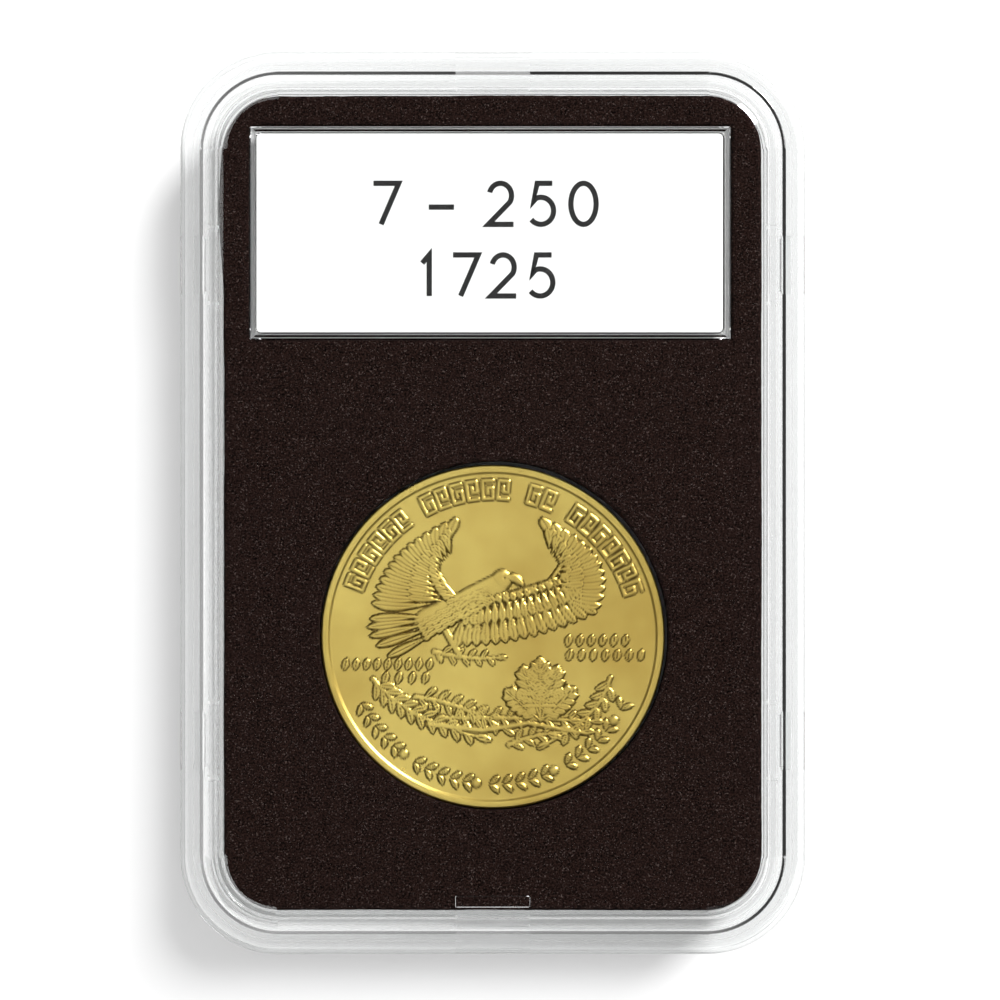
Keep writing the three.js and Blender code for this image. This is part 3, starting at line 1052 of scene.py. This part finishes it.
def ring_ornaments(relief):
    """A broken band of key links over the top and of lozenges under the bottom."""
    groups = (6, 6, 2, 7)
    pitch = math.radians(6.05)
    angle = math.radians(158.5)
    link = [(0.55, -0.85), (-0.5, -0.85), (-0.5, 0.85), (0.5, 0.85), (0.5, -0.15), (0.0, -0.15), (0.0, 0.3)]
    for count in groups:
        for index in range(count):
            flip = 1 if index % 2 else -1
            shape = [(px * 0.95, py * flip) for px, py in link]
            relief.stroke(on_ring(14.0, angle, shape), 0.15, 0.12)
            angle -= pitch
        angle -= pitch
    lower_pitch = math.radians(5.15)
    angle = math.radians(207)
    for index in range(25):
        if index % 6 == 5:
            relief.stud(on_ring(14.0, angle, [(0.0, 0.0)])[0], 0.45, 0.15)
        else:
            for side in (-1, 1):
                ends = on_ring(14.0, angle, [(0.0, 0.06 * side), (-0.85, 0.8 * side)])
                relief.leaf(ends[0], ends[1], 0.56, 0.16, 0.06 * side, 0.4, 0.3)
        angle += lower_pitch


def small_rows(relief):
    """Short rows of small lozenges at the middle left and right."""
    rows = ((7.2, 12.6, -0.35), (7.3, 14.1, -1.75), (-14.0, -6.0, -2.6), (-10.2, -6.4, -3.9))
    for start, end, y in rows:
        count = round((end - start) / 0.92)
        for index in range(count):
            x = start + (end - start) * index / (count - 1)
            relief.leaf((x - 0.12, y - 0.55), (x + 0.12, y + 0.55), 0.66, 0.14, 0.0, 0.0, 0.5)


def front_relief(x, y):
    """The coin's front: a flying bird over leaf sprays, in a ring of ornaments."""
    relief = Relief(x, y)
    leafy_band(relief)
    flying_bird(relief)
    ring_ornaments(relief)
    small_rows(relief)
    return RELIEF_GAIN * relief.height


def back_relief(x, y):
    """The coin's back: a star in a wreath, in a ring of beads."""
    relief = Relief(x, y)
    for side in (-1, 1):
        for row in range(14):
            angle = math.radians(-82 + 12 * row)
            root = np.array([side * 10.0 * math.cos(angle), 10.0 * math.sin(angle)])
            ahead = np.array([-side * math.sin(angle), math.cos(angle)])
            out = root / 10.0
            for hand in (-1, 1):
                relief.leaf(root, root + ahead * 2.1 + out * 1.15 * hand, 1.0, 0.15, 0.05, 0.4, 0.35)
        arc = [math.radians(-86 + 170 * s / 16) for s in range(17)]
        relief.ridge([(side * 10 * math.cos(a), 10 * math.sin(a)) for a in arc], 0.3, 0.2, 0.15)
    relief.star((0.0, 0.0), 5.6, 0.2)
    for bead in range(72):
        relief.stud(on_ring(14.6, 2 * math.pi * bead / 72, [(0.0, 0.0)])[0], 0.34, 0.12)
    return relief.height


def field_rings(radius, samples, spacing):
    """Rings of plan points from the middle to a radius, with half as many samples in each inner zone."""
    zones = [
        (radius / 2, radius, samples),
        (radius / 4, radius / 2, samples // 2),
        (0.0, radius / 4, samples // 4),
    ]
    rings = []
    for low, high, count in reversed(zones):
        steps = max(2, round((high - low) / spacing))
        for step in range(1, steps + 1):
            rings.append((low + (high - low) * step / steps, count))
    return rings


def ring_points(radius, count, z):
    """A ring of points about the axis at a height."""
    angles = 2 * math.pi * np.arange(count) / count
    return np.column_stack([radius * np.cos(angles), radius * np.sin(angles), np.full(count, z)])


def hollows(relief, x, y):
    """How deep each point lies below the relief close round it, from 0 to 1, for the gold's painted shade."""
    here = relief(x, y)
    around = np.zeros_like(here)
    for dx, dy in ((1, 0), (-1, 0), (0, 1), (0, -1)):
        around += relief(x + dx * HOLLOW_REACH, y + dy * HOLLOW_REACH) / 4
    return np.clip((around - here) / HOLLOW_DEPTH, 0.0, 1.0)


def struck_rings(rings, relief):
    """Rings of points over a field, raised by a relief in millimetres, and each ring's hollows."""
    points = [ring_points(radius, count, 0.0) for radius, count in rings]
    every = np.concatenate(points)
    x, y = every[:, 0] / MM, every[:, 1] / MM
    every[:, 2] = MM * relief(x, y)
    ends = np.cumsum([len(ring) for ring in points])[:-1]
    return np.split(every, ends), np.split(hollows(relief, x, y), ends)


def seam_faces(first, first_count, second, second_count):
    """The faces between two rings, the second with as many or twice or half as many points."""
    if first_count == second_count:
        return band_faces(first, second, first_count)
    if first_count > second_count:
        flipped = seam_faces(second, second_count, first, first_count)
        return [tuple(reversed(face)) for face in flipped]
    faces = []
    for i in range(first_count):
        a, b = first + i, first + (i + 1) % first_count
        c = second + 2 * i
        d, e = second + 2 * i + 1, second + (2 * i + 2) % second_count
        faces += [(a, d, c), (a, b, d), (b, e, d)]
    return faces


def reeded_ring(coin, radius, share, z, samples):
    """A ring on the coin's edge, with its reeds cut to a share of their depth."""
    angles = 2 * math.pi * np.arange(samples) / samples
    crest = np.clip(0.5 + 0.9 * np.cos(coin.reed_count * angles), 0.0, 1.0)
    radii = radius - share * coin.reed_depth * (1 - crest)
    return np.column_stack([radii * np.cos(angles), radii * np.sin(angles), np.full(samples, z)])


def build_coin(coin):
    """The coin as one closed mesh: struck front, rim, reeded edge, rim and struck back."""
    radius = (coin_box[1].x - coin_box[0].x) / 2
    centre_y = (coin_box[0].y + coin_box[1].y) / 2
    low, high = coin_box[0].z, coin_box[1].z
    samples = coin.reed_count * EDGE_SAMPLES_PER_REED
    samples += -samples % 4
    field_radius = radius - coin.rim_width
    front, front_hollows = struck_rings(field_rings(field_radius, samples, 0.135 * MM), front_relief)
    back, back_hollows = struck_rings(field_rings(field_radius, samples // 2, 0.2 * MM), back_relief)
    front_field = np.array([0.0, 0.0, high - coin.field_depth])
    back_field = np.array([0.0, 0.0, low + coin.field_depth])
    # The rim and the edge: how far across the rim or into the reeds, and how far below the top
    rim = [(0.16, 0.035), (0.26, 0.0), (0.72, 0.0), (0.86, 0.04)]
    edge = [(0.0, 0.1), (0.5, 0.22), (1.0, 0.36)]
    sides = []
    for share, drop in rim:
        sides.append(ring_points(field_radius + share * coin.rim_width, samples, high - drop * MM))
    for share, drop in edge:
        sides.append(reeded_ring(coin, radius, share, high - drop * MM, samples))
    mirror = np.array([1.0, 1.0, -1.0])
    rings = [ring + front_field for ring in front]
    rings += sides
    rings += [ring * mirror + np.array([0.0, 0.0, low + high]) for ring in reversed(sides)]
    rings += [ring * mirror + back_field for ring in reversed(back)]
    starts = np.concatenate([[0], np.cumsum([len(ring) for ring in rings])])
    faces = []
    for index in range(len(rings) - 1):
        faces += seam_faces(starts[index], len(rings[index]), starts[index + 1], len(rings[index + 1]))
    points = np.concatenate(rings)
    top, bottom = len(points), len(points) + 1
    middle = [rings[0].mean(axis=0), rings[-1].mean(axis=0)]
    points = np.vstack([points, middle])
    first, last = len(rings[0]), len(rings[-1])
    faces += [(top, i, (i + 1) % first) for i in range(first)]
    faces += [(bottom, starts[-2] + (i + 1) % last, starts[-2] + i) for i in range(last)]
    points[:, 1] += centre_y
    piece = mesh_object("gold_coin", points, [tuple(int(i) for i in face) for face in faces])
    piece.data.polygons.foreach_set("use_smooth", [True] * len(piece.data.polygons))
    plain = np.zeros(2 * len(sides) * samples)
    # Depths for the gold's painted shade; the rim, the edge and the two middle points get none
    hollow_shade = np.concatenate([*front_hollows, plain, *reversed(back_hollows), [0.0, 0.0]])
    piece.data.attributes.new(HOLLOW, "FLOAT", "POINT").data.foreach_set("value", hollow_shade)
    return piece


class CAPSULE_OT_coin(bpy.types.Operator):
    """Build the gold coin"""

    bl_idname = "capsule.coin"
    bl_label = "Coin"

    def execute(self, context):
        coin = context.scene.capsule_coin
        piece = build_coin(coin)
        finish_piece(piece, "coin", "coin", "gold", gold_material(coin))
        return {"FINISHED"}


# ---------------------------------------------------------------- label

def arc(centre_x, centre_y, radius_x, radius_y, start, end, steps=24):
    """Points on an arc, with its angles in degrees."""
    angles = [math.radians(start + (end - start) * step / steps) for step in range(steps + 1)]
    return [(centre_x + radius_x * math.cos(a), centre_y + radius_y * math.sin(a)) for a in angles]


# Each glyph is one stroke in a box one wide and one high. A glyph that ends where it starts is a loop.
GLYPHS = {
    "0": arc(0.5, 0.5, 0.5, 0.5, 90, 450, 48),
    "1": [(0.28, 0.8), (0.56, 1.0), (0.56, 0.0)],
    "2": [*arc(0.48, 0.7, 0.44, 0.3, 165, -32), (0.0, 0.0), (1.0, 0.0)],
    "5": [(0.9, 1.0), (0.3, 1.0), (0.16, 0.56), *arc(0.45, 0.33, 0.5, 0.33, 112, -140)],
    "7": [(0.0, 1.0), (1.0, 1.0), (0.3, 0.0)],
    "-": [(0.0, 0.42), (1.0, 0.42)],
}


def ribbon_sides(points, half_width, looped):
    """The left and right sides of a stroke, with pointed joins where it turns."""
    count = len(points)
    sides = []
    for index, point in enumerate(points):
        before = points[(index - 1) % count] if looped or index else point
        after = points[(index + 1) % count] if looped or index < count - 1 else point
        coming = (point - before) if index or looped else (after - point)
        going = (after - point) if index < count - 1 or looped else (point - before)
        coming = coming / np.hypot(*coming)
        going = going / np.hypot(*going)
        across = np.array([-(coming[1] + going[1]), coming[0] + going[0]])
        across = across / np.hypot(*across)
        lean = across @ np.array([-going[1], going[0]])
        sides.append(across * half_width / max(lean, 0.3))
    return np.array(sides)


def ribbon(glyph, x, y, width, height, half_width, low, high):
    """The points and faces of one printed stroke as a thin closed slab."""
    looped = math.dist(glyph[0], glyph[-1]) < 1e-6
    inner_width, inner_height = width - 2 * half_width, height - 2 * half_width
    shape = glyph[:-1] if looped else glyph
    points = np.array([(x + half_width + px * inner_width, y + half_width + py * inner_height) for px, py in shape])
    sides = ribbon_sides(points, half_width, looped)
    left, right = points + sides, points - sides
    count = len(points)
    corners = np.concatenate([at_height(left, low), at_height(right, low), at_height(left, high), at_height(right, high)])
    faces = []
    for i in range(count if looped else count - 1):
        j = (i + 1) % count
        faces.append((i, count + i, count + j, j))
        faces.append((2 * count + i, 2 * count + j, 3 * count + j, 3 * count + i))
        faces.append((i, j, 2 * count + j, 2 * count + i))
        faces.append((count + i, 3 * count + i, 3 * count + j, count + j))
    if not looped:
        end = count - 1
        faces.append((0, 2 * count, 3 * count, count))
        faces.append((end, count + end, 3 * count + end, 2 * count + end))
    return corners, faces


def build_card():
    """The label card, with its long edges eased."""
    centre_y = (card_box[0].y + card_box[1].y) / 2
    half_x = (card_box[1].x - card_box[0].x) / 2
    half_y = (card_box[1].y - card_box[0].y) / 2
    ease = 0.04 * MM
    low, high = card_box[0].z, card_box[1].z
    loops = []
    for grow, z in ((-ease, low), (0.0, low + ease), (0.0, high - ease), (-ease, high)):
        card = outline(half_x + grow, half_y + grow, CARD_RADIUS + grow, centre_y) + CARD_SHIFT
        loops.append(at_height(card, z))
    return stack("label_stock", loops)


def build_print(label):
    """Two lines of plain numerals printed on the card."""
    low = card_box[1].z
    high = low + label.ink_height
    half = label.stroke / 2
    upper_y, lower_y = 26.2 * MM, 19.4 * MM
    placed = [("7", -11.25, upper_y), ("-", -6.0, upper_y)]
    placed += [(digit, -0.35 + 3.92 * i, upper_y) for i, digit in enumerate("250")]
    placed += [(digit, -7.3 + 3.6 * i, lower_y) for i, digit in enumerate("1725")]
    points, faces = [], []
    for digit, x, y in placed:
        new_points, new_faces = ribbon(
            GLYPHS[digit], x * MM + CARD_SHIFT[0], y, label.digit_width, label.digit_height, half, low, high
        )
        faces += [tuple(len(points) + i for i in face) for face in new_faces]
        points += [tuple(p) for p in new_points]
    return mesh_object("label_print", points, faces)


class CAPSULE_OT_label(bpy.types.Operator):
    """Build the label card and its printed numerals"""

    bl_idname = "capsule.label"
    bl_label = "Label"

    def execute(self, context):
        label = context.scene.capsule_label
        finish_piece(build_card(), "label", "label_card", "card", paper_material(label))
        finish_piece(build_print(label), "label", None, "card", ink_material(label))
        return {"FINISHED"}


# ---------------------------------------------------------------- stage

# A dark card overhead, just big enough for the windows to mirror, and the glow round it:
# its brightness in the middle and how much that grows to the right and to the top
PORT_START = 0.9945
PORT_CENTRE = (-0.0015, -0.0004)
PORT_HALF = (0.0412, 0.0614)
PORT_EDGE = 0.02
PORT_GLOW = (0.85, -38.0, -10.0)

# How bright the dome is, from the horizon at 0 to straight overhead at 1, by the sine of the elevation
SKY_STOPS = (
    (0.0, 0.015),
    (0.35, 0.03),
    (0.55, 0.12),
    (0.74, 0.75),
    (0.84, 1.0),
    (PORT_START - 0.002, 1.0),
    (PORT_START, 0.0),
)
FILL_TIGHTNESS = 8.0
FILL_STRENGTH = 0.22


def build_floor(stage):
    """A plain pale floor just under the case."""
    half = stage.floor_size / 2
    z = -0.02 * MM
    floor = mesh_object("floor", [(-half, -half, z), (half, -half, z), (half, half, z), (-half, half, z)], [(0, 1, 2, 3)])
    shader = Shader("floor_paper")
    tooth = shader.grain(400.0, detail=3.0)
    shade = rgba([0.985 * c for c in stage.floor_colour])
    shader.set(
        Base_Color=shader.blend(tooth, rgba(stage.floor_colour), shade),
        Roughness=1.0,
        Specular_IOR_Level=0.0,
    )
    floor.data.materials.append(shader.material)


def build_sky(scene, stage):
    """A soft white dome with a dark card overhead, a dark horizon and two low fill cards."""
    world = bpy.data.worlds.new("studio")
    scene.world = world
    world.use_nodes = True
    tree = world.node_tree
    way = tree.nodes.new("ShaderNodeTexCoord").outputs["Generated"]
    parts = tree.nodes.new("ShaderNodeSeparateXYZ")
    tree.links.new(way, parts.inputs[0])

    def math_node(operation, first, second):
        node = tree.nodes.new("ShaderNodeMath")
        node.operation = operation
        for socket, value in zip(node.inputs, (first, second)):
            if isinstance(value, bpy.types.NodeSocket):
                tree.links.new(value, socket)
            else:
                socket.default_value = value
        return node.outputs[0]

    ramp = tree.nodes.new("ShaderNodeValToRGB")
    for index, (place, value) in enumerate(SKY_STOPS):
        stop = ramp.color_ramp.elements[index] if index < 2 else ramp.color_ramp.elements.new(place)
        stop.position = place
        stop.color = (value, value, value, 1.0)
    tree.links.new(parts.outputs["Z"], ramp.inputs[0])
    left = math_node("MULTIPLY", parts.outputs["X"], -1.0)
    near = math_node("MULTIPLY", parts.outputs["Y"], -1.0)
    cards = 0.0
    for side in (left, near):
        facing = math_node("POWER", math_node("MAXIMUM", side, 0.0), FILL_TIGHTNESS)
        cards = math_node("ADD", math_node("MULTIPLY", facing, FILL_STRENGTH), cards)
    across, up = (
        math_node("DIVIDE", math_node("ABSOLUTE", math_node("SUBTRACT", parts.outputs[axis], middle), 0.0), half)
        for axis, middle, half in zip("XY", PORT_CENTRE, PORT_HALF)
    )
    past = math_node("DIVIDE", math_node("SUBTRACT", math_node("MAXIMUM", across, up), 1.0), PORT_EDGE)
    past = math_node("MINIMUM", math_node("MAXIMUM", past, 0.0), 1.0)
    overhead = math_node("GREATER_THAN", parts.outputs["Z"], PORT_START)
    glow = math_node("MULTIPLY", parts.outputs["X"], PORT_GLOW[1])
    glow = math_node("ADD", glow, math_node("MULTIPLY", parts.outputs["Y"], PORT_GLOW[2]))
    glow = math_node("MAXIMUM", math_node("ADD", glow, PORT_GLOW[0]), 0.0)
    glow = math_node("MULTIPLY", math_node("MULTIPLY", glow, past), overhead)
    total = math_node("ADD", math_node("ADD", ramp.outputs["Color"], glow), cards)
    sky = tree.nodes["Background"]
    tree.links.new(math_node("MULTIPLY", total, stage.sky_strength), sky.inputs["Strength"])
    sky.inputs["Color"].default_value = (1.0, 1.0, 1.0, 1.0)


def aim(thing, target):
    """Turns a lamp or camera toward a point."""
    thing.rotation_euler = (Vector(target) - thing.location).to_track_quat("-Z", "Y").to_euler()


def build_lights(stage):
    """One soft square light at the upper right."""
    lamp = bpy.data.lights.new("key_light", "AREA")
    lamp.shape = "SQUARE"
    lamp.size = 0.22
    lamp.energy = stage.key_power
    key = bpy.data.objects.new("key_light", lamp)
    bpy.context.scene.collection.objects.link(key)
    key.location = (0.43, 0.43, 0.38)
    aim(key, (0.0, 0.0, 0.0))


def build_camera(scene, stage):
    """The camera straight over the case, looking down."""
    data = bpy.data.cameras.new("camera")
    data.sensor_width = 36.0
    data.lens = data.sensor_width * (stage.camera_height - front_box[1].z) / stage.view_width
    data.clip_start, data.clip_end = 0.01, 20.0
    camera = bpy.data.objects.new("camera", data)
    scene.collection.objects.link(camera)
    camera.location = (0.69 * MM, 0.28 * MM, stage.camera_height)
    scene.camera = camera


class CAPSULE_OT_stage(bpy.types.Operator):
    """Build the floor, the lights and the camera"""

    bl_idname = "capsule.stage"
    bl_label = "Stage"

    def execute(self, context):
        scene = context.scene
        stage = scene.capsule_stage
        build_camera(scene, stage)
        build_floor(stage)
        build_sky(scene, stage)
        build_lights(stage)
        scene.view_settings.view_transform = "Standard"
        scene.cycles.max_bounces = 24
        scene.cycles.transmission_bounces = 24
        scene.cycles.glossy_bounces = 8
        scene.cycles.transparent_max_bounces = 32
        return {"FINISHED"}


# ---------------------------------------------------------------- add-on

class CAPSULE_PT_panel(bpy.types.Panel):
    """The capsule's tab in the sidebar"""

    bl_label = "Coin Capsule"
    bl_idname = "CAPSULE_PT_panel"
    bl_space_type = "VIEW_3D"
    bl_region_type = "UI"
    bl_category = "Capsule"

    def draw(self, context):
        layout = self.layout
        for attribute, title, operators in SECTIONS:
            box = layout.box()
            box.label(text=title)
            settings = getattr(context.scene, attribute)
            for name in settings.bl_rna.properties.keys():
                if name not in {"rna_type", "name"}:
                    box.prop(settings, name)
            for operator in operators:
                box.operator(operator)


SETTINGS = {
    "capsule_case": CapsuleCaseSettings,
    "capsule_foam": CapsuleFoamSettings,
    "capsule_coin": CapsuleCoinSettings,
    "capsule_label": CapsuleLabelSettings,
    "capsule_stage": CapsuleStageSettings,
}
SECTIONS = (
    ("capsule_stage", "Stage", ("capsule.stage",)),
    ("capsule_case", "Shells", ("capsule.back_shell", "capsule.front_shell")),
    ("capsule_foam", "Foam", ("capsule.foam",)),
    ("capsule_coin", "Coin", ("capsule.coin",)),
    ("capsule_label", "Label", ("capsule.label",)),
)
CLASSES = (
    *SETTINGS.values(),
    CAPSULE_OT_stage,
    CAPSULE_OT_back_shell,
    CAPSULE_OT_front_shell,
    CAPSULE_OT_foam,
    CAPSULE_OT_coin,
    CAPSULE_OT_label,
    CAPSULE_PT_panel,
)


def register():
    for item in CLASSES:
        bpy.utils.register_class(item)
    for attribute, group in SETTINGS.items():
        setattr(bpy.types.Scene, attribute, bpy.props.PointerProperty(type=group))


def unregister():
    for attribute in SETTINGS:
        delattr(bpy.types.Scene, attribute)
    for item in reversed(CLASSES):
        bpy.utils.unregister_class(item)


def main():
    register()
    bpy.ops.capsule.stage()
    bpy.ops.capsule.back_shell()
    bpy.ops.capsule.front_shell()
    bpy.ops.capsule.foam()
    bpy.ops.capsule.coin()
    bpy.ops.capsule.label()


if __name__ == "__main__":
    main()
